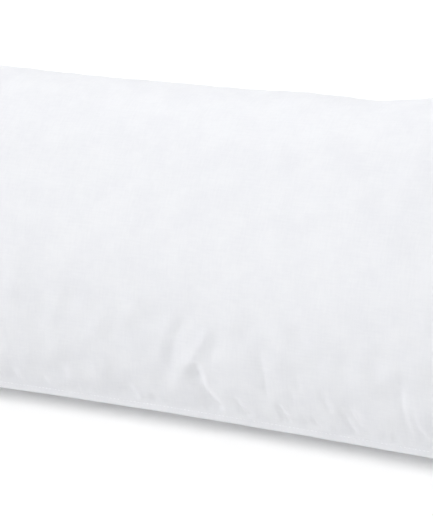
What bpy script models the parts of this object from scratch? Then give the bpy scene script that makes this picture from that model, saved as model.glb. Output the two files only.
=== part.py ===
"""A long lumbar pillow insert, filled, lying on its back on a level surface.

Two rectangles of downproof cotton are sewn together all round, turned right side
out, filled and closed. The filled case is one closed form: a crowned front, sides
drawn in between the corners, a thin sewn edge, and a back that is flat where it rests.

Metres, +Z up. X runs along the pillow and +Y is its upper long side. The cloth is
slack on the -Y side, where it folds and gathers into the seam. The origin is on the
surface that the pillow rests on, under its middle.
"""

from collections import namedtuple

import bmesh
import bpy
import numpy as np

MM = 0.001

# Size of the filled case. Length and width are those of the box that the sides would
# fill if its corners were square: the round corners stop about 4 mm short of it.
LENGTH = 890 * MM
WIDTH = 346 * MM
THICKNESS = 118 * MM

# How far the middle of each side is pulled in from its corners by the filling.
NEAR_DRAW_IN = 11.6 * MM
FAR_DRAW_IN = 19.5 * MM
END_DRAW_IN = 17 * MM
SIDE_BOW = 2.3
END_BOW = 2.2
CORNER_RADIUS = 16 * MM

# The sewn edge: two layers pressed flat, standing out from the filled body.
LIP_REACH = 6 * MM
LIP_THICKNESS = 3 * MM
NEAR_LIP_DROP = 4.5 * MM
FAR_LIP_DROP = 5.5 * MM
SEAM_HEIGHT = 32 * MM
CORNER_SEAM_HEIGHT = 39 * MM
CORNER_LIFT_POWER = 5

# The crown is 0 at the seam and 1 at the top. A lower power makes a fuller shoulder.
# The near side is slack, so it runs down to its seam in a nearly straight slope.
NEAR_BOW = 2.0
NEAR_FULLNESS = 0.78
FAR_BOW = 2.3
FAR_FULLNESS = 0.54
ALONG_BOW = 6.0
ALONG_FULLNESS = 0.60
EAR_SIZE = 50 * MM
EAR_PINCH = 0.40

# The back: a flat patch where the pillow rests, and a curved flank up to the seam.
PATCH_LENGTH = 770 * MM
PATCH_WIDTH = 226 * MM
PATCH_ROUNDNESS = 4
FLANK_POWER = 1.8
FLANK_RINGS = 4

# Spacing of the mesh: columns along the pillow in metres, and rows as shares of the
# cloth from the near seam to the far one. Both are closer where the folds are.
Span = namedtuple("Span", "start stop step")
HALF_ROOT = LENGTH / 2 - LIP_REACH
COLUMN_SPANS = (
    Span(-HALF_ROOT, -405 * MM, 9 * MM),
    Span(-405 * MM, -175 * MM, 18 * MM),
    Span(-175 * MM, 250 * MM, 7.6 * MM),
    Span(250 * MM, 405 * MM, 18 * MM),
    Span(405 * MM, HALF_ROOT, 9 * MM),
)
ROW_SPANS = (
    Span(0.00, 0.32, 0.0195),
    Span(0.32, 0.86, 0.045),
    Span(0.86, 1.00, 0.024),
)
SECTION_SAMPLES = 2001

# Folds in the front, measured on the cloth in millimetres: along from the pillow's
# middle, up from the near seam. Each runs from start through bend to end. It is a
# hollow of the given depth, or a raised fold where depth is negative, with a swelling
# of height ridge beside it. A ridge is on the fold's left as one goes from start to
# end where left is 1, and else on its right. The last two columns are the shares of
# the fold's run over which it fades in and out.
Fold = namedtuple("Fold", "start bend end half_width depth ridge left fade_in fade_out")
FOLDS = (
    # The crescent, and the shallow dents beside it.
    Fold((17, 92), (-10, 68), (-4, 28), 7.5, 2.0, 0.6, 0, 0.35, 0.35),
    Fold((26, 90), (17, 70), (12, 56), 6.0, 0.8, 0.2, 1, 0.50, 0.50),
    Fold((39, 70), (35, 56), (31, 38), 5.0, 0.9, 0.3, 1, 0.50, 0.40),
    # The raised fold that comes down between them, and the forked hollow below it.
    Fold((32, 80), (21, 58), (-6, 14), 6.5, -1.1, 0.0, 1, 0.40, 0.40),
    Fold((18, 48), (19, 36), (24, 24), 7.0, 2.6, 0.5, 1, 0.30, 0.60),
    Fold((19, 42), (21, 24), (40, 1), 5.5, 2.8, 0.7, 1, 0.30, 0.10),
    # Gathers into the near seam, to the right of the middle.
    Fold((52, 19), (57, 9), (65, 1), 4.5, 2.0, 0.5, 1, 0.45, 0.10),
    Fold((75, 78), (82, 50), (84, 20), 5.0, 1.0, 0.2, 1, 0.60, 0.30),
    Fold((90, 25), (94, 14), (102, 1), 4.5, 1.9, 0.6, 1, 0.45, 0.10),
    Fold((104, 42), (105, 32), (106, 22), 4.5, 0.9, 0.2, 1, 0.50, 0.40),
    Fold((130, 46), (134, 34), (140, 15), 4.5, 1.2, 0.3, 1, 0.60, 0.25),
    Fold((142, 34), (151, 18), (161, 1), 4.5, 1.6, 0.5, 1, 0.45, 0.10),
    Fold((199, 66), (198, 34), (208, 1), 5.5, 1.5, 0.4, 1, 0.45, 0.10),
    Fold((205, 30), (210, 12), (219, 1), 4.5, 1.4, 0.3, 1, 0.45, 0.10),
    # Fainter ones to the left of the middle.
    Fold((-52, 21), (-46, 11), (-38, 1), 6.5, 1.7, 0.5, 1, 0.60, 0.15),
    Fold((-112, 35), (-109, 24), (-107, 7), 4.5, 0.8, 0.2, 1, 0.50, 0.40),
    Fold((-162, 20), (-160, 10), (-157, 1), 5.5, 1.3, 0.4, 1, 0.60, 0.20),
    # Towards the ends.
    Fold((-267, 31), (-268, 14), (-274, 1), 9.0, 2.6, 0.8, 1, 0.50, 0.10),
    Fold((314, 36), (320, 17), (330, 1), 9.0, 3.0, 0.9, 1, 0.50, 0.10),
)
FOLD_STEPS = 16
# How far a ridge is from the fold's own line, and how far it spreads, in half widths.
RIDGE_OFFSET = 1.7
RIDGE_SPREAD = 3

# Pinches that run from a corner into the front, as the ear is drawn together there.
# End and side choose the corner, and the angle in degrees is from the long side. The
# other columns are in millimetres.
Pinch = namedtuple("Pinch", "end side angle length half_width depth")
PINCHES = (
    Pinch(-1, -1, 30, 78, 9, 3.6),
    Pinch(-1, -1, 54, 60, 8, 2.6),
    Pinch(-1, 1, 38, 84, 10, 3.8),
    Pinch(-1, 1, 16, 62, 8, 2.2),
    Pinch(1, -1, 42, 86, 10, 4.0),
    Pinch(1, -1, 20, 64, 8, 2.4),
    Pinch(1, 1, 34, 72, 9, 3.4),
    Pinch(1, 1, 58, 56, 8, 2.4),
)
PINCH_START = 14
PINCH_FADE_IN = 0.3
PINCH_FADE_OUT = 0.7

# Broad rises and dips of the filling, in millimetres: place on the cloth as for a
# fold, then the reach along and across, and the height.
Swell = namedtuple("Swell", "along up reach_along reach_up height")
SWELLS = (
    Swell(-300, 170, 110, 80, 2.5),
    Swell(-120, 84, 70, 34, -1.8),
    Swell(-20, 60, 60, 34, -2.0),
    Swell(60, 238, 130, 70, 1.5),
    Swell(150, 98, 90, 40, 1.2),
    Swell(300, 190, 90, 80, -1.6),
)

# The seam holds the cloth, so all relief dies away over this distance from it.
HELD_BY_SEAM = 8 * MM

CLOTH_WHITE = (0.86, 0.87, 0.89, 1.0)
CLOTH_ROUGHNESS = 0.85


def smooth_step(t):
    t = np.clip(t, 0.0, 1.0)
    return t * t * (3.0 - 2.0 * t)


def stations(spans):
    """Points along a line, spaced as the spans say, with no point twice."""
    points = []
    for span in spans:
        count = max(1, round((span.stop - span.start) / span.step))
        points.extend(np.linspace(span.start, span.stop, count, endpoint=False))
    return np.array(points + [spans[-1].stop])


def plan(u, v, inset):
    """The place in plan of (u, v), each from -1 to 1, inside an edge moved in by inset."""
    half_length = LENGTH / 2 - inset - END_DRAW_IN * (1 - np.abs(v) ** END_BOW)
    draw_in = np.where(v < 0, NEAR_DRAW_IN, FAR_DRAW_IN)
    half_width = WIDTH / 2 - inset - draw_in * (1 - np.abs(u) ** SIDE_BOW)
    x, y = u * half_length, v * half_width
    # The corners are sewn round, which moves their tips in along the diagonal.
    near_tip_x = smooth_step((np.abs(x) - LENGTH / 2 + inset + CORNER_RADIUS) / CORNER_RADIUS)
    near_tip_y = smooth_step((np.abs(y) - WIDTH / 2 + inset + CORNER_RADIUS) / CORNER_RADIUS)
    cut = (1 - np.sqrt(0.5)) * CORNER_RADIUS * near_tip_x * near_tip_y
    return x - np.sign(u) * cut, y - np.sign(v) * cut


def seam_height(u):
    lift = CORNER_SEAM_HEIGHT - SEAM_HEIGHT
    return SEAM_HEIGHT + lift * np.abs(u) ** CORNER_LIFT_POWER


def crown(u, v):
    near = np.clip(1 - np.abs(v) ** NEAR_BOW, 0, 1) ** NEAR_FULLNESS
    far = np.clip(1 - np.abs(v) ** FAR_BOW, 0, 1) ** FAR_FULLNESS
    across = np.where(v < 0, near, far)
    along = np.clip(1 - np.abs(u) ** ALONG_BOW, 0, 1) ** ALONG_FULLNESS
    x, y = plan(u, v, LIP_REACH)
    to_corner = np.hypot(LENGTH / 2 - np.abs(x), WIDTH / 2 - np.abs(y))
    ear = 1 - EAR_PINCH * np.exp(-((to_corner / EAR_SIZE) ** 2))
    return across * along * ear


def front(u, v):
    """The smooth front, before its folds."""
    x, y = plan(u, v, LIP_REACH)
    base = seam_height(u) + LIP_THICKNESS / 2
    z = base + (THICKNESS - base) * crown(u, v)
    return np.stack([x, y, z], axis=-1)


def front_normals(u, v):
    step = 1e-3
    edge = 1 - 2 * step
    u, v = np.clip(u, -edge, edge), np.clip(v, -edge, edge)
    along = front(u + step, v) - front(u - step, v)
    across = front(u, v + step) - front(u, v - step)
    normals = np.cross(along, across)
    return normals / np.linalg.norm(normals, axis=-1, keepdims=True)


def rows_by_cloth(shares):
    """Values of v at the given shares of the cloth across the middle, and its length."""
    v = np.sin(np.linspace(-np.pi / 2, np.pi / 2, SECTION_SAMPLES))
    section = front(np.zeros_like(v), v)
    steps = np.linalg.norm(np.diff(section, axis=0), axis=1)
    run = np.concatenate([[0.0], np.cumsum(steps)])
    return np.interp(shares * run[-1], run, v), run[-1]


def fold_relief(along, up):
    """Height in metres that the folds, pinches and swells add, at a place on the cloth."""
    relief = np.zeros_like(along)
    for fold in FOLDS:
        start, bend, end = (np.array(p) * MM for p in (fold.start, fold.bend, fold.end))
        width = fold.half_width * MM
        nearest = np.full_like(along, np.inf)
        signed = np.zeros_like(along)
        share = np.zeros_like(along)
        for t in np.linspace(0, 1, FOLD_STEPS):
            point = (1 - t) ** 2 * start + 2 * t * (1 - t) * bend + t * t * end
            heading = (1 - t) * (bend - start) + t * (end - bend)
            heading /= np.linalg.norm(heading)
            away_x, away_y = along - point[0], up - point[1]
            distance = np.hypot(away_x, away_y)
            closer = distance < nearest
            nearest = np.where(closer, distance, nearest)
            signed = np.where(closer, away_x * -heading[1] + away_y * heading[0], signed)
            share = np.where(closer, t, share)
        fade = smooth_step(share / fold.fade_in) * smooth_step((1 - share) / fold.fade_out)
        ridge_side = 1 if fold.left else -1
        hollow = np.exp(-((nearest / width) ** 2))
        beside = (signed * ridge_side - RIDGE_OFFSET * width) / width
        ridge = np.exp(-(beside**2)) * np.exp(-((nearest / (RIDGE_SPREAD * width)) ** 4))
        relief += fade * MM * (fold.ridge * ridge - fold.depth * hollow)
    return relief


def pinch_relief(x, y):
    relief = np.zeros_like(x)
    for pinch in PINCHES:
        from_tip_x = LENGTH / 2 - pinch.end * x
        from_tip_y = WIDTH / 2 - pinch.side * y
        angle = np.radians(pinch.angle)
        run = (from_tip_x * np.cos(angle) + from_tip_y * np.sin(angle)) / MM
        aside = (from_tip_y * np.cos(angle) - from_tip_x * np.sin(angle)) / MM
        share = (run - PINCH_START) / (pinch.length - PINCH_START)
        fade = smooth_step(share / PINCH_FADE_IN) * smooth_step((1 - share) / PINCH_FADE_OUT)
        relief -= fade * MM * pinch.depth * np.exp(-((aside / pinch.half_width) ** 2))
    return relief


def swell_relief(along, up):
    relief = np.zeros_like(along)
    for swell in SWELLS:
        run = (along / MM - swell.along) / swell.reach_along
        rise = (up / MM - swell.up) / swell.reach_up
        relief += MM * swell.height * np.exp(-(run**2) - rise**2)
    return relief


def front_panel():
    """The grid of points of the front, from seam root to seam root, and its (u, v)."""
    columns = stations(COLUMN_SPANS) / HALF_ROOT
    shares = stations(ROW_SPANS)
    rows, cloth_across = rows_by_cloth(shares)
    u, v = np.meshgrid(columns, rows, indexing="ij")
    points = front(u, v)
    along = u * HALF_ROOT
    up = np.broadcast_to(shares * cloth_across, u.shape)
    relief = fold_relief(along, up) + swell_relief(along, up)
    relief += pinch_relief(points[..., 0], points[..., 1])
    from_seam = np.minimum(np.minimum(up, cloth_across - up), HALF_ROOT - np.abs(along))
    relief *= smooth_step(from_seam / HELD_BY_SEAM)
    return points + front_normals(u, v) * relief[..., None], u, v


def rim_of(grid):
    """The grid's outermost places, once round, counter-clockwise seen from above."""
    last_i, last_j = grid[0] - 1, grid[1] - 1
    near = [(i, 0) for i in range(last_i)]
    right = [(last_i, j) for j in range(last_j)]
    far = [(i, last_j) for i in range(last_i, 0, -1)]
    left = [(0, j) for j in range(last_j, 0, -1)]
    return near + right + far + left


def add_band(mesh, ring, next_ring):
    """A band of faces that joins two closed rings with the same count of points."""
    count = len(ring)
    for k in range(count):
        after = (k + 1) % count
        mesh.faces.new((ring[k], ring[after], next_ring[after], next_ring[k]))


def build_case():
    points, u, v = front_panel()
    mesh = bmesh.new()
    front_verts = [[mesh.verts.new(p) for p in column] for column in points]
    for i in range(len(front_verts) - 1):
        for j in range(len(front_verts[0]) - 1):
            corners = ((i, j), (i + 1, j), (i + 1, j + 1), (i, j + 1))
            mesh.faces.new([front_verts[a][b] for a, b in corners])

    rim = rim_of(u.shape)
    rim_u = np.array([u[place] for place in rim])
    rim_v = np.array([v[place] for place in rim])
    root_ring = [front_verts[a][b] for a, b in rim]
    height = seam_height(rim_u)

    # The edge that both panels share, at the tip of the sewn lip.
    drop = NEAR_LIP_DROP + (FAR_LIP_DROP - NEAR_LIP_DROP) * (rim_v + 1) / 2
    edge_x, edge_y = plan(rim_u, rim_v, 0.0)
    edge_ring = [mesh.verts.new(p) for p in zip(edge_x, edge_y, height - drop)]
    add_band(mesh, edge_ring, root_ring)

    # The back: from the lip's root down the flank to the edge of the flat patch.
    root_x, root_y = plan(rim_u, rim_v, LIP_REACH)
    squareness = np.abs(rim_u) ** PATCH_ROUNDNESS + np.abs(rim_v) ** PATCH_ROUNDNESS
    rounded = squareness ** (-1 / PATCH_ROUNDNESS)
    patch_x = rim_u * rounded * PATCH_LENGTH / 2
    patch_y = rim_v * rounded * PATCH_WIDTH / 2
    above = edge_ring
    for share in np.linspace(1, 0, FLANK_RINGS + 1):
        ring_x = patch_x + (root_x - patch_x) * share
        ring_y = patch_y + (root_y - patch_y) * share
        ring_z = (height - LIP_THICKNESS / 2) * share**FLANK_POWER
        ring = [mesh.verts.new(p) for p in zip(ring_x, ring_y, ring_z)]
        add_band(mesh, ring, above)
        above = ring
    mesh.faces.new(reversed(above))

    data = bpy.data.meshes.new("pillow_case")
    mesh.normal_update()
    mesh.to_mesh(data)
    mesh.free()
    data.shade_smooth()
    case = bpy.data.objects.new("pillow_case", data)
    bpy.context.scene.collection.objects.link(case)
    return case


def cotton():
    material = bpy.data.materials.new("downproof_cotton")
    material.use_nodes = True
    shader = material.node_tree.nodes["Principled BSDF"]
    shader.inputs["Base Color"].default_value = CLOTH_WHITE
    shader.inputs["Roughness"].default_value = CLOTH_ROUGHNESS
    shader.inputs["Metallic"].default_value = 0.0
    return material


for leftover in list(bpy.data.objects):
    bpy.data.objects.remove(leftover)

pillow_case = build_case()
pillow_case.data.materials.append(cotton())
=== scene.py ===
"""A long lumbar pillow insert in white downproof cotton, lying on its back on a pale floor."""
from collections import namedtuple

import bpy
import numpy as np
from mathutils import Matrix, Vector


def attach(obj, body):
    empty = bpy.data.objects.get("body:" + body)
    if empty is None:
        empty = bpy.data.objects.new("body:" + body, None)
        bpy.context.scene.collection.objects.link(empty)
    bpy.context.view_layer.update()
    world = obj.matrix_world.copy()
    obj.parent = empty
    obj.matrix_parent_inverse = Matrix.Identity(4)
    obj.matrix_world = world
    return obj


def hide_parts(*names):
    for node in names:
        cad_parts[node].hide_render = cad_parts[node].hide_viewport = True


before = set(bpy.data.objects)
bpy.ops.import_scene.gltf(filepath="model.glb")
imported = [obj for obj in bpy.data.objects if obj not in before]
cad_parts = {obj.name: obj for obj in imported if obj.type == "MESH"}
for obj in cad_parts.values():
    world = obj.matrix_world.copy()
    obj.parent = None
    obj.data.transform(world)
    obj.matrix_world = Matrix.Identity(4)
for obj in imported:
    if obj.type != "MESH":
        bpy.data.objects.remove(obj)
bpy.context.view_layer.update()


# The filled case. Two rectangles of white downproof cotton are sewn together all
# round, turned out and filled with feather and down. The filling crowns the panels
# and draws the sides in, and the spare cloth is taken up in gathers at the seam.
MM = 0.001
LENGTH = 890 * MM
WIDTH = 346 * MM
THICKNESS = 118 * MM
NEAR_DRAW_IN = 11.6 * MM
FAR_DRAW_IN = 19.5 * MM
END_DRAW_IN = 17 * MM
SIDE_BOW = 2.3
END_BOW = 2.2
CORNER_RADIUS = 16 * MM

# The crown is 0 at the seam and 1 at the top. A lower power makes a fuller shoulder.
# The near side is slack, so it runs down to its seam in a nearly straight slope.
NEAR_BOW = 2.0
NEAR_FULLNESS = 0.78
FAR_BOW = 2.3
FAR_FULLNESS = 0.54
ALONG_BOW = 6.0
ALONG_FULLNESS = 0.60
EAR_SIZE = 50 * MM
EAR_PINCH = 0.40

# The sewn edge stands out from the filled body and droops a little towards its tip.
LIP_REACH = 6 * MM
LIP_THICKNESS = 3 * MM
NEAR_LIP_DROP = 4.5 * MM
FAR_LIP_DROP = 5.5 * MM
SEAM_HEIGHT = 32 * MM
CORNER_SEAM_HEIGHT = 39 * MM
CORNER_LIFT_POWER = 5

# The flat patch on which the pillow rests, and the curved flank from there to the seam.
PATCH_LENGTH = 770 * MM
PATCH_WIDTH = 226 * MM
PATCH_ROUNDNESS = 4
FLANK_POWER = 1.8

# Spacing of the mesh before it is subdivided once: columns along the pillow in metres,
# and rows as shares of the cloth from the near seam to the far one. Both are closer
# where the folds are.
Span = namedtuple("Span", "start stop step")
HALF_ROOT = LENGTH / 2 - LIP_REACH
COLUMN_SPANS = (
    Span(-HALF_ROOT, -400 * MM, 6.5 * MM),
    Span(-400 * MM, -190 * MM, 8.5 * MM),
    Span(-190 * MM, 255 * MM, 3.5 * MM),
    Span(255 * MM, 400 * MM, 8.5 * MM),
    Span(400 * MM, HALF_ROOT, 6.5 * MM),
)
ROW_SPANS = (
    Span(0.00, 0.28, 0.0100),
    Span(0.28, 0.86, 0.0290),
    Span(0.86, 1.00, 0.0148),
)


def smooth_step(t):
    """From 0 to 1 as t goes from 0 to 1, with no corner at either end."""
    t = np.clip(t, 0.0, 1.0)
    return t * t * (3.0 - 2.0 * t)


def stations(spans):
    """Points along a line, spaced as the spans say, with no point twice."""
    points = []
    for span in spans:
        count = max(1, round((span.stop - span.start) / span.step))
        points.extend(np.linspace(span.start, span.stop, count, endpoint=False))
    return np.array(points + [spans[-1].stop])


def plan(u, v, inset):
    """The place in plan of (u, v), each from -1 to 1, inside an edge moved in by inset."""
    half_length = LENGTH / 2 - inset - END_DRAW_IN * (1 - np.abs(v) ** END_BOW)
    draw_in = np.where(v < 0, NEAR_DRAW_IN, FAR_DRAW_IN)
    half_width = WIDTH / 2 - inset - draw_in * (1 - np.abs(u) ** SIDE_BOW)
    x, y = u * half_length, v * half_width
    near_tip_x = smooth_step((np.abs(x) - LENGTH / 2 + inset + CORNER_RADIUS) / CORNER_RADIUS)
    near_tip_y = smooth_step((np.abs(y) - WIDTH / 2 + inset + CORNER_RADIUS) / CORNER_RADIUS)
    cut = (1 - np.sqrt(0.5)) * CORNER_RADIUS * near_tip_x * near_tip_y
    return x - np.sign(u) * cut, y - np.sign(v) * cut


def seam_height(u):
    """How high the middle of the seam stands, which is more towards the corners."""
    lift = CORNER_SEAM_HEIGHT - SEAM_HEIGHT
    return SEAM_HEIGHT + lift * np.abs(u) ** CORNER_LIFT_POWER


def crown_along(u):
    """The crown's height along the pillow, as a share of its height at the top."""
    return np.clip(1 - np.abs(u) ** ALONG_BOW, 0, 1) ** ALONG_FULLNESS


def crown_across(v):
    """The same across the pillow, where the near side slopes more gently."""
    near = np.clip(1 - np.abs(v) ** NEAR_BOW, 0, 1) ** NEAR_FULLNESS
    far = np.clip(1 - np.abs(v) ** FAR_BOW, 0, 1) ** FAR_FULLNESS
    return np.where(v < 0, near, far)


def front(u, v, thickness=THICKNESS):
    """The smooth front panel at (u, v)."""
    x, y = plan(u, v, LIP_REACH)
    to_corner = np.hypot(LENGTH / 2 - np.abs(x), WIDTH / 2 - np.abs(y))
    ear = 1 - EAR_PINCH * np.exp(-((to_corner / EAR_SIZE) ** 2))
    base = seam_height(u) + LIP_THICKNESS / 2
    z = base + (thickness - base) * crown_along(u) * crown_across(v) * ear
    return np.stack([x, y, z], axis=-1)


def patch_widths(x, y):
    """How far out a place in plan lies: 1 on the edge of the patch, and more outside it."""
    reach = np.abs(x / (PATCH_LENGTH / 2)) ** PATCH_ROUNDNESS
    reach += np.abs(y / (PATCH_WIDTH / 2)) ** PATCH_ROUNDNESS
    return reach ** (1 / PATCH_ROUNDNESS)


def back(u, v):
    """The smooth back panel at (u, v): flat on its patch, and curved up from there. The
    second result goes from 0 on the patch to 1 at the seam."""
    x, y = plan(u, v, LIP_REACH)
    outward = np.maximum(np.maximum(np.abs(u), np.abs(v)), 1e-6)
    rim_x, rim_y = plan(u / outward, v / outward, LIP_REACH)
    share = (patch_widths(x, y) - 1) / (patch_widths(rim_x, rim_y) - 1)
    share = np.clip(share, 0, 1)
    z = (seam_height(u / outward) - LIP_THICKNESS / 2) * share**FLANK_POWER
    return np.stack([x, y, z], axis=-1), share


def normals_of(panel, u, v):
    """Unit normals of a panel, from its slopes a small step to each side."""
    step = 1e-3
    edge = 1 - 2 * step
    u, v = np.clip(u, -edge, edge), np.clip(v, -edge, edge)
    slope_along = panel(u + step, v) - panel(u - step, v)
    slope_across = panel(u, v + step) - panel(u, v - step)
    normals = np.cross(slope_along, slope_across)
    return normals / np.linalg.norm(normals, axis=-1, keepdims=True)


# Cloth lengths are measured on the smooth front, along its middle and across it, with
# the samples closer towards the seams, where it is steep.
samples = np.sin(np.linspace(-np.pi / 2, np.pi / 2, 2001))
across_line = front(np.zeros_like(samples), samples)
along_line = front(samples, np.zeros_like(samples))
run_across = np.append(0, np.cumsum(np.linalg.norm(np.diff(across_line, axis=0), axis=1)))
run_along = np.append(0, np.cumsum(np.linalg.norm(np.diff(along_line, axis=0), axis=1)))
CLOTH_ACROSS = run_across[-1]
CLOTH_ALONG = run_along[-1]

# Folds in the front, measured on the cloth in millimetres: along from the pillow's
# middle, up from the near seam. Each runs down from start through bend to end. It is a
# hollow of the given depth, or a raised fold where depth is negative, with its own reach
# and crest on the left and on the right. The last two columns are the shares of its run
# over which it fades in and out.
Fold = namedtuple("Fold", "start bend end left right depth left_crest right_crest fade_in fade_out")
FOLDS = (
    # The crescent, and the shallow dents beside it.
    Fold((18, 97), (-9, 66), (-3, 28), 6.8, 9, 1.2, 0.6, 0.1, 0.35, 0.35),
    Fold((30, 92), (22, 74), (14, 58), 5, 4.5, 0.5, 0.1, 0.1, 0.50, 0.50),
    Fold((39, 70), (35, 56), (31, 38), 4, 3.5, 0.4, 0.0, 0.0, 0.50, 0.40),
    # The raised fold that comes down between them, and the forked hollow below it.
    Fold((32, 80), (21, 58), (-6, 14), 6, 7, -1.1, 0.0, 0.0, 0.40, 0.40),
    Fold((18, 48), (19, 36), (24, 24), 9, 4.0, 2.6, 0.0, 0.2, 0.30, 0.60),
    Fold((19, 44), (21, 24), (40, 1), 6.6, 3.6, 3.0, 0.0, 0.0, 0.30, 0.10),
    # Gathers into the near seam, to the right of the middle.
    Fold((52, 19), (57, 9), (65, 1), 3, 2.4, 2.3, 0.2, 0.5, 0.45, 0.10),
    Fold((75, 78), (82, 50), (84, 20), 2.7, 2.7, 0.7, 0.0, 0.1, 0.60, 0.30),
    Fold((90, 25), (94, 14), (102, 1), 3.4, 2.6, 1.7, 0.1, 0.5, 0.45, 0.10),
    Fold((104, 42), (105, 32), (106, 22), 3.2, 3, 0.5, 0.0, 0.1, 0.50, 0.40),
    Fold((112, 56), (112, 43), (110, 32), 3.2, 3.2, 0.6, 0.1, 0.1, 0.50, 0.50),
    Fold((113, 17), (115, 8), (120, 1), 2.6, 2.3, 0.7, 0.0, 0.2, 0.45, 0.10),
    Fold((120, 15), (123, 7), (128, 1), 2.6, 2.3, 0.7, 0.0, 0.2, 0.45, 0.10),
    Fold((130, 46), (134, 34), (140, 15), 3.4, 3.2, 0.8, 0.0, 0.1, 0.60, 0.25),
    Fold((147, 30), (151, 14), (161, 1), 2.8, 2.5, 0.9, 0.1, 0.2, 0.45, 0.10),
    Fold((153, 33), (158, 19), (166, 5), 2.6, 2.5, 0.6, 0.0, 0.1, 0.45, 0.30),
    Fold((200, 68), (198, 36), (210, 1), 3.0, 3.4, 0.6, 0.0, 0.0, 0.45, 0.10),
    Fold((208, 44), (210, 24), (218, 1), 2.6, 2.7, 0.7, 0.0, 0.1, 0.45, 0.10),
    Fold((214, 25), (216, 12), (226, 1), 2.5, 2.3, 0.9, 0.1, 0.2, 0.45, 0.10),
    # Fainter ones to the left of the middle.
    Fold((-27, 12), (-23, 6), (-16, 1), 3.5, 3, 0.7, 0.1, 0.3, 0.50, 0.15),
    Fold((-52, 21), (-46, 11), (-38, 1), 8, 3, 1.7, 0.0, 0.5, 0.60, 0.15),
    Fold((-75, 41), (-73, 33), (-71, 23), 4, 4, 0.5, 0.1, 0.2, 0.50, 0.50),
    Fold((-112, 35), (-109, 24), (-107, 7), 4, 3.5, 0.4, 0.0, 0.1, 0.50, 0.40),
    Fold((-133, 16), (-131, 8), (-126, 1), 3.5, 3, 0.8, 0.1, 0.3, 0.60, 0.15),
    Fold((-162, 20), (-160, 10), (-157, 1), 6, 4, 0.9, 0.1, 0.3, 0.60, 0.20),
    # Towards the ends.
    Fold((-267, 31), (-268, 14), (-274, 1), 9, 6, 2.6, 0.4, 0.8, 0.50, 0.10),
    Fold((-355, 48), (-352, 25), (-362, 1), 8, 6, 3.0, 0.4, 1.0, 0.50, 0.10),
    Fold((262, 40), (259, 22), (268, 1), 7, 4, 2.6, 0.4, 1.1, 0.45, 0.12),
    Fold((314, 36), (320, 17), (330, 1), 9, 6, 3.0, 0.4, 0.9, 0.50, 0.10),
    Fold((370, 52), (378, 26), (392, 1), 8, 5, 3.2, 0.4, 1.2, 0.45, 0.12),
)
FOLD_STEPS = 48
HOLLOW_POWER = 1.5
CREST_OFFSET = 1.7
CREST_SPREAD = 0.8

# Pinches from each corner into the front, in degrees from the long side and in mm.
Pinch = namedtuple("Pinch", "end side angle length half_width depth")
PINCHES = (
    Pinch(-1, -1, 30, 78, 9, 3.6),
    Pinch(-1, -1, 54, 60, 8, 2.6),
    Pinch(-1, 1, 38, 84, 10, 3.8),
    Pinch(-1, 1, 16, 62, 8, 2.2),
    Pinch(1, -1, 42, 86, 10, 4.0),
    Pinch(1, -1, 20, 64, 8, 2.4),
    Pinch(1, 1, 34, 72, 9, 3.4),
    Pinch(1, 1, 58, 56, 8, 2.4),
)
PINCH_START = 14
PINCH_FADE_IN = 0.3
PINCH_FADE_OUT = 0.7

# Broad rises and dips of the filling, in mm: place on the cloth, reaches and height.
Swell = namedtuple("Swell", "along up reach_along reach_up height")
SWELLS = (
    # Over the face.
    Swell(-300, 170, 110, 80, 2.5),
    Swell(-120, 84, 70, 34, -1.8),
    Swell(-20, 60, 60, 34, -2.0),
    Swell(60, 238, 130, 70, 1.5),
    Swell(150, 98, 90, 40, 1.2),
    Swell(300, 190, 90, 80, -1.6),
    # Along the far shoulder, which the photo shows in outline.
    Swell(-210, 346, 75, 28, 0.9),
    Swell(-70, 346, 75, 28, 1.7),
    Swell(50, 346, 42, 28, 1.8),
    Swell(122, 346, 22, 28, -1.6),
    Swell(178, 346, 34, 28, 3.6),
)

# The seam holds the cloth, so relief fades towards it, each kind over its own distance.
HELD_BY_SEAM = 8 * MM
FOLDS_HELD_BY_SEAM = 4 * MM
PUCKERS_HELD_BY_SEAM = 2 * MM


def distance_to_seam(across, up):
    """Distance on the cloth to the nearest seam, by place on the cloth from its middle."""
    return np.minimum(CLOTH_ACROSS / 2 - np.abs(up), CLOTH_ALONG / 2 - np.abs(across))


def fold_relief(along, up):
    """Height that the folds add at a place on the cloth."""
    relief = np.zeros_like(along)
    for fold in FOLDS:
        start, bend, end = (np.array(p, float) for p in (fold.start, fold.bend, fold.end))
        away = np.full_like(along, np.inf)
        share = np.zeros_like(along)
        for t in np.linspace(0, 1, FOLD_STEPS):
            point = (1 - t) ** 2 * start + 2 * t * (1 - t) * bend + t * t * end
            heading = (1 - t) * (bend - start) + t * (end - bend)
            off_x, off_y = along / MM - point[0], up / MM - point[1]
            distance = np.hypot(off_x, off_y)
            closer = distance < np.abs(away)
            on_the_right = off_y * heading[0] - off_x * heading[1] > 0
            away = np.where(closer, np.where(on_the_right, distance, -distance), away)
            share = np.where(closer, t, share)
        reach = np.where(away < 0, fold.left, fold.right)
        hollow = np.exp(-((np.abs(away) / reach) ** HOLLOW_POWER))
        left_crest = np.exp(-((away / fold.left + CREST_OFFSET) / CREST_SPREAD) ** 2)
        right_crest = np.exp(-((away / fold.right - CREST_OFFSET) / CREST_SPREAD) ** 2)
        height = fold.left_crest * left_crest + fold.right_crest * right_crest - fold.depth * hollow
        fade = smooth_step(share / fold.fade_in) * smooth_step((1 - share) / fold.fade_out)
        relief += fade * height * MM
    return relief


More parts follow.
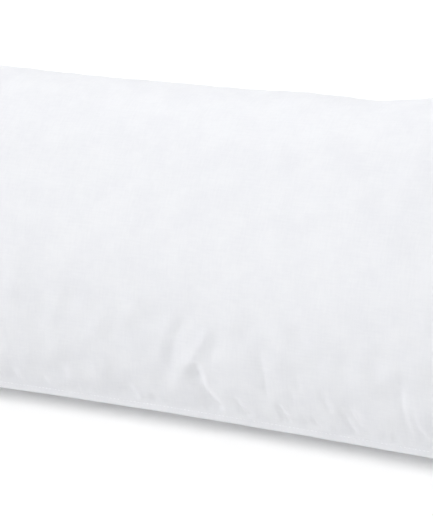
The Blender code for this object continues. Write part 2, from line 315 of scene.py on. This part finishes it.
def pinch_relief(x, y):
    """Height that the pinches add at a place in plan."""
    relief = np.zeros_like(x)
    for pinch in PINCHES:
        from_tip_x = LENGTH / 2 - pinch.end * x
        from_tip_y = WIDTH / 2 - pinch.side * y
        angle = np.radians(pinch.angle)
        run = (from_tip_x * np.cos(angle) + from_tip_y * np.sin(angle)) / MM
        aside = (from_tip_y * np.cos(angle) - from_tip_x * np.sin(angle)) / MM
        share = (run - PINCH_START) / (pinch.length - PINCH_START)
        fade = smooth_step(share / PINCH_FADE_IN) * smooth_step((1 - share) / PINCH_FADE_OUT)
        relief -= fade * MM * pinch.depth * np.exp(-((aside / pinch.half_width) ** 2))
    return relief


def swell_relief(along, up):
    """Height that the swells add at a place on the cloth."""
    relief = np.zeros_like(along)
    for swell in SWELLS:
        run = (along / MM - swell.along) / swell.reach_along
        rise = (up / MM - swell.up) / swell.reach_up
        relief += MM * swell.height * np.exp(-(run**2) - rise**2)
    return relief


# Small gathers all round, where the slack cloth meets the shorter seam, and the finer
# puckers that the stitches draw. Each row gives ranges in millimetres: the step from one
# to the next, how far they reach in, half width and depth. The last column is how far
# they lean. The stretch of the near seam that has its own folds keeps only the puckers,
# and the far seam's middle has only weak gathers, because the photo's outline is smooth.
Gathers = namedtuple("Gathers", "step reach half_width depth lean")
GATHERS = Gathers((13, 34), (18, 60), (3.6, 6.4), (0.8, 3.0), 0.28)
PUCKERS = Gathers((6.5, 12), (6, 15), (1.9, 3.2), (0.15, 0.60), 0.20)
FOLDED_STRETCH = (-190, 250)
CALM_STRETCH = (-290, 190)
CALM_SHARE = 0.35
FRONT_GATHER_SEED = 3
BACK_GATHER_SEED = 13
PUCKER_SEED = 41

# Gathers start this far from a corner, in mm, and are deeper and closer together towards
# it. Each fades in over some mm and out over a share of its run, between two low rims.
FROM_CORNER = 10
CORNER_CROWDING = 1.5
CROWDING_POWER = 4
GATHER_FADE_IN = 3
GATHER_FADE_OUT = 0.8
GATHER_RIM_OFFSET = 1.9
GATHER_RIM = 0.35


def gathers_on(side_length, kind, seed, calm=(0, 0), calm_share=0.0):
    """Gathers along one side as rows of place, reach, half width, depth and lean."""
    rng = np.random.default_rng(seed)
    last = side_length / MM / 2 - FROM_CORNER
    rows = []
    place = -last
    while place < last:
        crowd = 1 + (CORNER_CROWDING - 1) * (abs(place) / last) ** CROWDING_POWER
        reach, half_width = rng.uniform(*kind.reach), rng.uniform(*kind.half_width)
        depth, lean = rng.uniform(*kind.depth) * crowd, rng.normal(0, kind.lean)
        if calm[0] < place < calm[1]:
            depth *= calm_share
        rows.append((place, reach, half_width, depth, lean))
        place += rng.uniform(*kind.step) / crowd
    return rows


def gather_relief(along, inward, rows):
    """Height that a side's gathers add, by place along it and cloth length in from it."""
    relief = np.zeros_like(along)
    for place, reach, half_width, depth, lean in rows:
        aside = np.abs(along / MM - place - lean * inward / MM) / half_width
        fade = smooth_step(inward / MM / GATHER_FADE_IN)
        fade *= smooth_step((1 - inward / MM / reach) / GATHER_FADE_OUT)
        rim = GATHER_RIM * np.exp(-((aside - GATHER_RIM_OFFSET) ** 2))
        relief -= fade * MM * depth * (np.exp(-(aside**2)) - rim)
    return relief


def gathers_all_round(across, up, kind, seed, near_calm=(0, 0), far_calm=(0, 0)):
    """Relief of one kind of gather on all four sides, by place on the cloth from its middle."""
    half_across, half_along = CLOTH_ACROSS / 2, CLOTH_ALONG / 2
    stretch = LENGTH / CLOTH_ALONG
    near_rows = gathers_on(LENGTH, kind, seed, near_calm)
    far_rows = gathers_on(LENGTH, kind, seed + 1, far_calm, CALM_SHARE)
    relief = gather_relief(across * stretch, half_across + up, near_rows)
    relief += gather_relief(across * stretch, half_across - up, far_rows)
    relief += gather_relief(up, half_along + across, gathers_on(WIDTH, kind, seed + 2))
    relief += gather_relief(up, half_along - across, gathers_on(WIDTH, kind, seed + 3))
    return relief


# The filling is a little lumpy: waves of these lengths in many directions add up. The
# lumps are higher on the slack near side, from 40 mm in front of the middle onwards.
LUMP_WAVES = 18
LUMP_LENGTHS = (20, 52)
LUMP_HEIGHT = 0.12 * MM
LUMP_SEED = 31
LUMPS_WHERE_SLACK = 2.2
SLACK_STARTS = 40 * MM
SLACK_SPREAD = 80 * MM

# The sewn edge is never quite straight: it waves up and down by about this much.
EDGE_WAVES = 9
EDGE_WAVE_LENGTHS = (26, 95)
EDGE_WAVE_HEIGHT = 0.45 * MM
EDGE_WAVE_SEED = 21


def waves(x, y, count, lengths, seed):
    """A soft random field with a spread of about 1, from waves in many directions."""
    rng = np.random.default_rng(seed)
    field = np.zeros_like(x)
    for _ in range(count):
        length = rng.uniform(*lengths) * MM
        angle = rng.uniform(0, np.pi)
        phase = rng.uniform(0, 2 * np.pi)
        field += np.sin(2 * np.pi * (x * np.cos(angle) + y * np.sin(angle)) / length + phase)
    return field / np.sqrt(count / 2)


# The lip in section, from the front's root round the edge to the back's root, in mm:
# distance in from the edge, and height above the lip's middle. The outermost point is
# past the edge because the subdivision draws it in.
LIP_SECTION = ((4.5, 0.75), (1.5, 1.05), (-0.8, 0), (1.5, -1.05), (4.5, -0.75))
STITCHED_RINGS = (1, 5)

# On the back, shares of the way from the flat patch to the seam: over the first the
# floor's hold fades, and over the second the gathers grow to their full depth.
HOLD_FADES_OVER = 0.12
BACK_GATHERS_GROW_OVER = 0.3


def case_mesh(rise):
    """Both panels and the sewn lip as one closed mesh, thinner than the finished case by
    the given rise. Each point keeps its place on the cloth in the attribute "cloth":
    metres from the middle, along and across, and 1 on the front or -1 on the back."""
    columns = stations(COLUMN_SPANS) / HALF_ROOT
    shares = stations(ROW_SPANS)
    cloth_u = np.interp((columns + 1) / 2 * CLOTH_ALONG, run_along, samples)
    cloth_v = np.interp(shares * CLOTH_ACROSS, run_across, samples)
    even_u, even_v = np.meshgrid(columns, 2 * shares - 1, indexing="ij")
    cloth_u, cloth_v = np.meshgrid(cloth_u, cloth_v, indexing="ij")

    # The front's grid follows the cloth inside, and the seam at its rim.
    u = even_u + (cloth_u - even_u) * crown_across(even_v)
    v = even_v + (cloth_v - even_v) * crown_along(even_u)
    across = np.interp(u, samples, run_along) - CLOTH_ALONG / 2
    up = np.interp(v, samples, run_across) - CLOTH_ACROSS / 2
    points = front(u, v, THICKNESS - rise)
    relief = pinch_relief(points[..., 0], points[..., 1])
    relief += gathers_all_round(
        across, up, GATHERS, FRONT_GATHER_SEED, FOLDED_STRETCH, CALM_STRETCH
    )
    from_seam = distance_to_seam(across, up)
    relief *= smooth_step(from_seam / HELD_BY_SEAM)
    front_points = points + normals_of(front, u, v) * relief[..., None]
    front_cloth = np.stack([across, up, np.ones_like(up)], -1)

    # The back has the same rim, and gathers only on its flank.
    back_points, flank = back(even_u, even_v)
    across, up = even_u * CLOTH_ALONG / 2, even_v * CLOTH_ACROSS / 2
    relief = gathers_all_round(across, up, GATHERS, BACK_GATHER_SEED)
    from_seam = distance_to_seam(across, up)
    relief *= smooth_step(from_seam / HELD_BY_SEAM) * smooth_step(flank / BACK_GATHERS_GROW_OVER)
    back_normals = -normals_of(lambda a, b: back(a, b)[0], even_u, even_v)
    back_points = back_points + back_normals * relief[..., None]
    back_cloth = np.stack([across, up, -np.ones_like(up)], -1)

    # Both panels are grids of four-sided faces, and all of them point outwards.
    front_index = np.arange(even_u.size).reshape(even_u.shape)
    back_index = front_index + front_index.size
    faces = []
    for index, turned in ((front_index, False), (back_index, True)):
        quads = np.stack([index[:-1, :-1], index[1:, :-1], index[1:, 1:], index[:-1, 1:]], -1)
        quads = quads.reshape(-1, 4)
        faces.append(quads[:, ::-1] if turned else quads)

    # The lip joins the two rims, ring by ring.
    last_i, last_j = even_u.shape[0] - 1, even_u.shape[1] - 1
    rim = [(i, 0) for i in range(last_i)]
    rim += [(last_i, j) for j in range(last_j)]
    rim += [(i, last_j) for i in range(last_i, 0, -1)]
    rim += [(0, j) for j in range(last_j, 0, -1)]
    rim_i, rim_j = np.array(rim).T
    rim_u, rim_v = even_u[rim_i, rim_j], even_v[rim_i, rim_j]
    drop = NEAR_LIP_DROP + (FAR_LIP_DROP - NEAR_LIP_DROP) * (rim_v + 1) / 2
    edge_x, edge_y = plan(rim_u, rim_v, 0.0)
    edge_waves = waves(edge_x, edge_y, EDGE_WAVES, EDGE_WAVE_LENGTHS, EDGE_WAVE_SEED)
    drop = drop + EDGE_WAVE_HEIGHT * edge_waves
    rings = [front_index[rim_i, rim_j]]
    lip_points, lip_cloth = [], []
    first = 2 * front_index.size
    for inset, above in LIP_SECTION:
        x, y = plan(rim_u, rim_v, inset * MM)
        middle = seam_height(rim_u) - drop * (1 - inset * MM / LIP_REACH)
        lip_points.append(np.stack([x, y, middle + above * MM], -1))
        outward = 1 + (LIP_REACH - inset * MM) / (CLOTH_ACROSS / 2)
        along, up = rim_u * CLOTH_ALONG / 2, rim_v * outward * CLOTH_ACROSS / 2
        lip_cloth.append(np.stack([along, up, np.full_like(up, np.sign(above))], -1))
        rings.append(np.arange(len(rim)) + first)
        first += len(rim)
    rings.append(back_index[rim_i, rim_j])
    for upper, lower in zip(rings, rings[1:]):
        after_upper, after_lower = np.roll(upper, -1), np.roll(lower, -1)
        faces.append(np.stack([upper, lower, after_lower, after_upper], -1))

    # The seam and the lip are held while the case settles. So is the patch, with a hold
    # that fades on the flank.
    panel_points = (front_points.reshape(-1, 3), back_points.reshape(-1, 3))
    panel_cloth = (front_cloth.reshape(-1, 3), back_cloth.reshape(-1, 3))
    all_points = np.concatenate([*panel_points, *lip_points])
    all_cloth = np.concatenate([*panel_cloth, *lip_cloth])
    pinned = np.zeros(len(all_points))
    pinned[np.concatenate(rings)] = 1.0
    on_patch = 1 - smooth_step(flank.ravel() / HOLD_FADES_OVER)
    pinned[back_index.ravel()] = np.maximum(pinned[back_index.ravel()], on_patch)
    mesh = bpy.data.meshes.new("filled_case")
    mesh.from_pydata(all_points.tolist(), [], np.concatenate(faces).tolist())
    kept = mesh.attributes.new("cloth", "FLOAT_VECTOR", "POINT")
    kept.data.foreach_set("vector", all_cloth.ravel())
    mesh.update()
    return mesh, pinned, rings


# The case starts thinner by RISE, and the filling makes up the rest: a short cloth
# simulation in which no point moves further than the given distance.
CLOTH_FRAMES = 20
FURTHEST_MOVE = 1.5 * MM
RISE = 0.5 * MM


def settle(case, pinned):
    """The filling pushes the case out from inside while its seam and its patch are held."""
    held = case.vertex_groups.new(name="held")
    for index in np.nonzero(pinned > 0)[0]:
        held.add([int(index)], float(pinned[index]), "REPLACE")

    # A light, tight cloth. The filling's pressure alone moves it, so gravity is off.
    cloth = case.modifiers.new("filling", "CLOTH")
    cloth.settings.quality = 5
    cloth.settings.mass = 0.3
    cloth.settings.tension_stiffness = 30
    cloth.settings.compression_stiffness = 30
    cloth.settings.shear_stiffness = 10
    cloth.settings.bending_stiffness = 0.3
    cloth.settings.air_damping = 2
    cloth.settings.use_pressure = True
    cloth.settings.uniform_pressure_force = 4
    cloth.settings.vertex_group_mass = "held"
    cloth.settings.effector_weights.gravity = 0
    cloth.collision_settings.use_collision = False
    cloth.point_cache.frame_end = CLOTH_FRAMES

    # It runs frame by frame, and its result becomes the case's own mesh.
    scene = bpy.context.scene
    scene.frame_start, scene.frame_end = 1, CLOTH_FRAMES
    for step in range(1, CLOTH_FRAMES + 1):
        scene.frame_set(step)
    depsgraph = bpy.context.evaluated_depsgraph_get()
    settled = bpy.data.meshes.new_from_object(case.evaluated_get(depsgraph))
    start, end = points_of(case.data), points_of(settled)
    move = end - start
    distance = np.linalg.norm(move, axis=1, keepdims=True)
    result = start + move * np.minimum(1, FURTHEST_MOVE / np.maximum(distance, 1e-9))
    result[:, 2] = np.maximum(result[:, 2], 0)
    case.modifiers.remove(cloth)
    case.vertex_groups.clear()
    case.data.vertices.foreach_set("co", result.ravel())
    case.data.update()
    bpy.data.meshes.remove(settled)
    scene.frame_set(1)


def points_of(mesh):
    """A mesh's points as rows of x, y and z."""
    points = np.empty(len(mesh.vertices) * 3, dtype=np.float32)
    mesh.vertices.foreach_get("co", points)
    return points.reshape(-1, 3)


# Relief grows from nothing at the floor to its full height this far above it, so that
# the patch stays flat.
CLEAR_OF_FLOOR = 4 * MM


def fine_relief(mesh):
    """Adds the filling's swells and lumps, the folds and the puckers to the fine mesh."""
    cloth = np.empty(len(mesh.vertices) * 3, dtype=np.float32)
    mesh.attributes["cloth"].data.foreach_get("vector", cloth)
    across, up, side = cloth.reshape(-1, 3).astype(float).T
    normals = np.empty(len(mesh.vertices) * 3, dtype=np.float32)
    mesh.vertex_normals.foreach_get("vector", normals)
    normals = normals.reshape(-1, 3)
    points = points_of(mesh)

    from_seam = distance_to_seam(across, up)
    inside = smooth_step(from_seam / HELD_BY_SEAM)
    slack = 1 + (LUMPS_WHERE_SLACK - 1) * smooth_step((-up - SLACK_STARTS) / SLACK_SPREAD)
    lumps = waves(across, up, LUMP_WAVES, LUMP_LENGTHS, LUMP_SEED)
    puckers = gathers_all_round(across, up, PUCKERS, PUCKER_SEED)
    relief = LUMP_HEIGHT * slack * lumps * inside
    relief += puckers * smooth_step(from_seam / PUCKERS_HELD_BY_SEAM)
    shown = side > 0
    plan_along = HALF_ROOT * np.interp(across + CLOTH_ALONG / 2, run_along, samples)
    relief[shown] += (swell_relief(plan_along, up + CLOTH_ACROSS / 2) * inside)[shown]
    folded = shown & (up < 0)
    held = smooth_step(from_seam[folded] / FOLDS_HELD_BY_SEAM)
    relief[folded] += fold_relief(plan_along[folded], up[folded] + CLOTH_ACROSS / 2) * held
    off_floor = smooth_step(points[:, 2] / CLEAR_OF_FLOOR)
    points = points + normals * (relief * off_floor)[:, None]
    points[:, 2] = np.maximum(points[:, 2], 0)
    mesh.vertices.foreach_set("co", points.astype(np.float32).ravel())
    mesh.update()


mesh, pinned, lip_rings = case_mesh(RISE)
case = bpy.data.objects.new("filled_case", mesh)
bpy.context.scene.collection.objects.link(case)
settle(case, pinned)
smoother = case.modifiers.new("subdivided", "SUBSURF")
smoother.levels = smoother.render_levels = 1
bpy.context.view_layer.update()
depsgraph = bpy.context.evaluated_depsgraph_get()
fine = bpy.data.meshes.new_from_object(case.evaluated_get(depsgraph))
case.modifiers.remove(smoother)
case.data = fine
fine_relief(fine)
fine.shade_smooth()


def linear(code):
    """An sRGB hex colour as the linear RGBA that a shader takes."""
    values = [int(code[i : i + 2], 16) / 255 for i in (1, 3, 5)]
    return [c / 12.92 if c <= 0.04045 else ((c + 0.055) / 1.055) ** 2.4 for c in values] + [1.0]


def add_node(tree, kind, inputs=None, **settings):
    """A node with its settings. An input takes a value or another node's socket."""
    node = tree.nodes.new(kind)
    for name, value in settings.items():
        setattr(node, name, value)
    for key, value in (inputs or {}).items():
        if isinstance(value, bpy.types.NodeSocket):
            tree.links.new(value, node.inputs[key])
        else:
            node.inputs[key].default_value = value
    return node


# Downproof cotton: a tight plain weave of fine bleached yarn, calendered, matt with a
# faint bloom at grazing angles. Its yarns are 0.25 mm apart, which is too fine to show,
# so the uneven yarns are drawn 1.8 mm apart and 14 mm long.
COTTON_WHITE = "#DEDFE2"
COTTON_SHADE = "#D9DADE"
YARN_PITCH = 1.8 * MM
YARN_RUN = 14 * MM
CLOUD_SIZE = 24 * MM
YARN_BUMP = 0.05 * MM


def woven(tree, place):
    """Uneven yarns both ways, as a height from 0 to 1 that averages a half."""
    total = None
    for scale in ((1 / YARN_RUN, 1 / YARN_PITCH, 0), (1 / YARN_PITCH, 1 / YARN_RUN, 0)):
        turned = add_node(tree, "ShaderNodeMapping", {"Vector": place, "Scale": scale})
        yarns = add_node(
            tree,
            "ShaderNodeTexNoise",
            {"Vector": turned.outputs["Vector"], "Scale": 1.0, "Detail": 2.0, "Roughness": 0.6},
            noise_dimensions="2D",
        )
        if total is None:
            total = yarns.outputs["Fac"]
        else:
            halves = {0: total, 1: yarns.outputs["Fac"]}
            total = add_node(tree, "ShaderNodeMath", halves, operation="ADD").outputs[0]
    half = {0: total, 1: 0.5}
    return add_node(tree, "ShaderNodeMath", half, operation="MULTIPLY").outputs[0]


cotton = bpy.data.materials.new("white_downproof_cotton")
cotton.use_nodes = True
tree = cotton.node_tree
shader = tree.nodes["Principled BSDF"]
on_cloth = add_node(
    tree,
    "ShaderNodeAttribute",
    attribute_name="cloth",
    attribute_type="GEOMETRY",
)
place = on_cloth.outputs["Vector"]
weave = woven(tree, place)
cloud = add_node(
    tree,
    "ShaderNodeTexNoise",
    {"Vector": place, "Scale": 1 / CLOUD_SIZE, "Detail": 3.0, "Roughness": 0.55},
)
blend = add_node(tree, "ShaderNodeMath", {0: weave, 1: cloud.outputs["Fac"]}, operation="ADD")
shade = add_node(
    tree,
    "ShaderNodeMapRange",
    {"Value": blend.outputs[0], "From Min": 0.75, "From Max": 1.25, "To Min": 0.0, "To Max": 1.0},
)
tone = add_node(
    tree,
    "ShaderNodeMix",
    {0: shade.outputs["Result"], 6: linear(COTTON_SHADE), 7: linear(COTTON_WHITE)},
    data_type="RGBA",
)
bump = add_node(tree, "ShaderNodeBump", {"Height": weave, "Strength": 1.0, "Distance": YARN_BUMP})
roughness = add_node(tree, "ShaderNodeMapRange", {"Value": weave, "To Min": 0.84, "To Max": 0.94})
tree.links.new(tone.outputs[2], shader.inputs["Base Color"])
tree.links.new(bump.outputs["Normal"], shader.inputs["Normal"])
tree.links.new(roughness.outputs["Result"], shader.inputs["Roughness"])
shader.inputs["Specular IOR Level"].default_value = 0.25
shader.inputs["Sheen Weight"].default_value = 0.12
shader.inputs["Sheen Roughness"].default_value = 0.5
fine.materials.append(cotton)
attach(case, "root")
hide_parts("pillow_case")


# The edge stitching. One row of white lockstitch runs round the lip and holds its two
# layers flat. It shows as short rounded stitches on the front and on the back.
STITCH_PITCH = 3.2 * MM
STITCH_LENGTH = 2.6 * MM
STITCH_WIDTH = 0.55 * MM
STITCH_HEIGHT = 0.45 * MM
STITCH_WANDER = 0.10
STITCH_SEED = 5


def stitch_row_tree(material):
    """Geometry Nodes that lay rounded stitches along the edges of a closed line."""
    tree = bpy.data.node_groups.new("stitch_row", "GeometryNodeTree")
    tree.interface.new_socket("Geometry", in_out="INPUT", socket_type="NodeSocketGeometry")
    for name in ("Pitch", "Length", "Width", "Height"):
        tree.interface.new_socket(name, in_out="INPUT", socket_type="NodeSocketFloat")
    tree.interface.new_socket("Seed", in_out="INPUT", socket_type="NodeSocketInt")
    tree.interface.new_socket("Geometry", in_out="OUTPUT", socket_type="NodeSocketGeometry")
    given = add_node(tree, "NodeGroupInput").outputs
    line = add_node(tree, "GeometryNodeMeshToCurve", {"Mesh": given["Geometry"]})
    evened = add_node(
        tree,
        "GeometryNodeResampleCurve",
        {"Curve": line.outputs["Curve"], "Length": given["Pitch"]},
        mode="LENGTH",
    )
    tangent = add_node(tree, "GeometryNodeInputTangent").outputs["Tangent"]
    heading = add_node(tree, "FunctionNodeAlignRotationToVector", {"Vector": tangent}, axis="X")
    wander = add_node(
        tree,
        "FunctionNodeRandomValue",
        {"Min": (0, 0, -STITCH_WANDER), "Max": (0, 0, STITCH_WANDER), "Seed": given["Seed"]},
        data_type="FLOAT_VECTOR",
    )
    turned = add_node(
        tree,
        "FunctionNodeRotateRotation",
        {"Rotation": heading.outputs[0], "Rotate By": wander.outputs[0]},
        rotation_space="LOCAL",
    )
    size = add_node(
        tree,
        "ShaderNodeCombineXYZ",
        {"X": given["Length"], "Y": given["Width"], "Z": given["Height"]},
    )
    grain = add_node(tree, "GeometryNodeMeshUVSphere", {"Segments": 6, "Rings": 5, "Radius": 0.5})
    laid = add_node(
        tree,
        "GeometryNodeInstanceOnPoints",
        {
            "Points": evened.outputs["Curve"],
            "Instance": grain.outputs["Mesh"],
            "Rotation": turned.outputs[0],
            "Scale": size.outputs["Vector"],
        },
    )
    whole = add_node(tree, "GeometryNodeRealizeInstances", {"Geometry": laid.outputs["Instances"]})
    smooth = add_node(tree, "GeometryNodeSetShadeSmooth", {"Geometry": whole.outputs["Geometry"]})
    dressed = add_node(
        tree,
        "GeometryNodeSetMaterial",
        {"Geometry": smooth.outputs["Geometry"], "Material": material},
    )
    add_node(tree, "NodeGroupOutput", {"Geometry": dressed.outputs["Geometry"]})
    return tree


# Spun polyester sewing thread: three plies twisted together, smoother and a little
# brighter than the cloth. The twist is drawn about 1 mm apart so that it shows, as a bump
# and as painted shade that darkens the thread in the hollows between the plies.
THREAD_WHITE = "#F0F1F4"
THREAD_PAINTED_SHADE = "#DADCE2"
TWIST_PITCH = 1.0 * MM
TWIST_BUMP = 0.03 * MM
thread = bpy.data.materials.new("white_sewing_thread")
thread.use_nodes = True
tree = thread.node_tree
shader = tree.nodes["Principled BSDF"]
place = add_node(tree, "ShaderNodeTexCoord").outputs["Object"]
twist = add_node(
    tree,
    "ShaderNodeTexWave",
    {"Vector": place, "Scale": 1 / (2 * np.pi * TWIST_PITCH), "Distortion": 2.0, "Detail": 1.0},
    bands_direction="DIAGONAL",
)
# Painted shade: the thread's colour goes darker where the twist's bump is low, in the hollows
# between the plies.
tone = add_node(
    tree,
    "ShaderNodeMix",
    {0: twist.outputs["Fac"], 6: linear(THREAD_PAINTED_SHADE), 7: linear(THREAD_WHITE)},
    data_type="RGBA",
)
bump = add_node(tree, "ShaderNodeBump", {"Height": twist.outputs["Fac"], "Distance": TWIST_BUMP})
tree.links.new(tone.outputs[2], shader.inputs["Base Color"])
tree.links.new(bump.outputs["Normal"], shader.inputs["Normal"])
shader.inputs["Roughness"].default_value = 0.6
shader.inputs["Sheen Weight"].default_value = 0.1

# The line to sew along is the lip's own ring on the fine mesh, front and back.
fine_points = points_of(fine)
line_points = np.concatenate([fine_points[lip_rings[k]] for k in STITCHED_RINGS])
count = len(lip_rings[0])
steps = np.arange(count)
loop = np.stack([steps, np.roll(steps, -1)], -1)
line_mesh = bpy.data.meshes.new("edge_stitching")
line_mesh.from_pydata(line_points.tolist(), np.concatenate([loop, loop + count]).tolist(), [])
stitching = bpy.data.objects.new("edge_stitching", line_mesh)
bpy.context.scene.collection.objects.link(stitching)
rows = stitching.modifiers.new("stitches", "NODES")
rows.node_group = stitch_row_tree(thread)
wanted = {
    "Pitch": STITCH_PITCH,
    "Length": STITCH_LENGTH,
    "Width": STITCH_WIDTH,
    "Height": STITCH_HEIGHT,
    "Seed": STITCH_SEED,
}
for socket in rows.node_group.interface.items_tree:
    if socket.in_out == "INPUT" and socket.name in wanted:
        rows[socket.identifier] = wanted[socket.name]
bpy.context.view_layer.update()
depsgraph = bpy.context.evaluated_depsgraph_get()
sewn = bpy.data.meshes.new_from_object(stitching.evaluated_get(depsgraph))
stitching.modifiers.remove(rows)
stitching.data = sewn
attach(stitching, "root")


# The floor. A wide sheet of matt white paper, lit so brightly that it shows pure white
# away from the pillow. Beyond the lamps' reach it glows a little, so it stays white there.
FLOOR_HALF = 12.0
NEAR_GLOW = 0.02
FLOOR_GLOW = 0.9
GLOW_STARTS = 0.55
GLOW_IS_FULL = 2.0
PAPER_WHITE = "#FAFAFA"
PAPER_SHADE = "#F7F7F7"
FIBRE_SIZE = 2 * MM
FIBRE_BUMP = 0.02 * MM
floor_mesh = bpy.data.meshes.new("paper_floor")
corners = [(x * FLOOR_HALF, y * FLOOR_HALF, 0) for x, y in ((-1, -1), (1, -1), (1, 1), (-1, 1))]
floor_mesh.from_pydata(corners, [], [(0, 1, 2, 3)])
floor = bpy.data.objects.new("paper_floor", floor_mesh)
bpy.context.scene.collection.objects.link(floor)
paper = bpy.data.materials.new("matt_white_paper")
paper.use_nodes = True
tree = paper.node_tree
shader = tree.nodes["Principled BSDF"]
place = add_node(tree, "ShaderNodeTexCoord").outputs["Object"]
fibres = add_node(
    tree,
    "ShaderNodeTexNoise",
    {"Vector": place, "Scale": 1 / FIBRE_SIZE, "Detail": 2.0},
)
tone = add_node(
    tree,
    "ShaderNodeMix",
    {0: fibres.outputs["Fac"], 6: linear(PAPER_SHADE), 7: linear(PAPER_WHITE)},
    data_type="RGBA",
)
bump = add_node(tree, "ShaderNodeBump", {"Height": fibres.outputs["Fac"], "Distance": FIBRE_BUMP})
tree.links.new(tone.outputs[2], shader.inputs["Base Color"])
tree.links.new(bump.outputs["Normal"], shader.inputs["Normal"])
from_middle = add_node(tree, "ShaderNodeVectorMath", {0: place}, operation="LENGTH")
glow = add_node(
    tree,
    "ShaderNodeMapRange",
    {
        "Value": from_middle.outputs["Value"],
        "From Min": GLOW_STARTS,
        "From Max": GLOW_IS_FULL,
        "To Min": NEAR_GLOW,
        "To Max": FLOOR_GLOW,
    },
    interpolation_type="SMOOTHSTEP",
)
tree.links.new(glow.outputs["Result"], shader.inputs["Emission Strength"])
shader.inputs["Emission Color"].default_value = linear("#FFFFFF")
shader.inputs["Roughness"].default_value = 1.0
shader.inputs["Specular IOR Level"].default_value = 0.0
floor_mesh.materials.append(paper)


# The light. Four round soft boxes: a large one low on the left models the folds, one
# overhead lights the face, and two weaker ones stand beyond the far side and in front.
# Each is turned to the left from the far side and raised, in degrees, with its distance
# and size in metres.
SoftBox = namedtuple("SoftBox", "name turned_left elevation distance size watts")
SOFT_BOXES = (
    SoftBox("on_the_left", 90, 25, 5.0, 3.0, 151),
    SoftBox("overhead", -90, 82, 2.6, 1.6, 44.5),
    SoftBox("beyond_the_far_side", 0, 45, 2.6, 1.6, 24.7),
    SoftBox("low_in_front", 180, 15, 2.6, 1.6, 16.8),
)
for box in SOFT_BOXES:
    turned, raised = np.radians(box.turned_left), np.radians(box.elevation)
    level = np.cos(raised)
    toward = Vector((-np.sin(turned) * level, np.cos(turned) * level, np.sin(raised)))
    lamp = bpy.data.lights.new(box.name, "AREA")
    lamp.shape = "DISK"
    lamp.size = box.size
    lamp.energy = box.watts
    hung = bpy.data.objects.new(box.name, lamp)
    hung.location = toward * box.distance
    hung.rotation_euler = toward.to_track_quat("Z", "Y").to_euler()
    bpy.context.scene.collection.objects.link(hung)

# The backdrop glows at the level of the eye and fades upwards, where the room is dim.
ROOM_GLOW = 0.02
BACKDROP_GLOW = 1.0
GLOW_FADES_FROM = 0.08
GLOW_FADES_TO = 0.30
room = bpy.data.worlds.new("studio")
room.use_nodes = True
tree = room.node_tree
direction = add_node(tree, "ShaderNodeTexCoord").outputs["Generated"]
upward = add_node(tree, "ShaderNodeSeparateXYZ", {"Vector": direction}).outputs["Z"]
backdrop = add_node(
    tree,
    "ShaderNodeMapRange",
    {
        "Value": upward,
        "From Min": GLOW_FADES_FROM,
        "From Max": GLOW_FADES_TO,
        "To Min": BACKDROP_GLOW,
        "To Max": ROOM_GLOW,
    },
    interpolation_type="SMOOTHSTEP",
)
tree.nodes["Background"].inputs["Color"].default_value = linear("#FFFFFF")
tree.links.new(backdrop.outputs["Result"], tree.nodes["Background"].inputs["Strength"])
bpy.context.scene.world = room


# The camera looks at the face from 21 degrees to its right and 20 degrees below its
# normal, rolled so that the pillow runs down to the right.
CAMERA_SWING = 20.98
CAMERA_TIP = 70
CAMERA_ROLL = 14.29
CAMERA_DISTANCE = 1.3049
CAMERA_AIM = Vector((10.1, -26.2, 60)) * MM
FOCAL_PIXELS = 1500
PHOTO_HEIGHT = 516
swing, tip, roll = (np.radians(a) for a in (CAMERA_SWING, CAMERA_TIP, CAMERA_ROLL))
backward = Vector((np.sin(swing), -np.cos(swing) * np.cos(tip), np.cos(swing) * np.sin(tip)))
level = Vector((0, 1, 0)).cross(backward).normalized()
upright = backward.cross(level)
right = level * np.cos(roll) + upright * np.sin(roll)
over = upright * np.cos(roll) - level * np.sin(roll)

# The sensor's width spans the picture's longer side, which is its height. The focal
# length is given in the picture's pixels.
lens = bpy.data.cameras.new("camera")
lens.sensor_width = 36
lens.lens = FOCAL_PIXELS / PHOTO_HEIGHT * lens.sensor_width
lens.clip_start, lens.clip_end = 0.05, 50
camera = bpy.data.objects.new("camera", lens)
turn = Matrix((right, over, backward)).transposed().to_4x4()
camera.matrix_world = Matrix.Translation(CAMERA_AIM + backward * CAMERA_DISTANCE) @ turn
bpy.context.scene.collection.objects.link(camera)
bpy.context.scene.camera = camera
bpy.context.scene.view_settings.view_transform = "Standard"
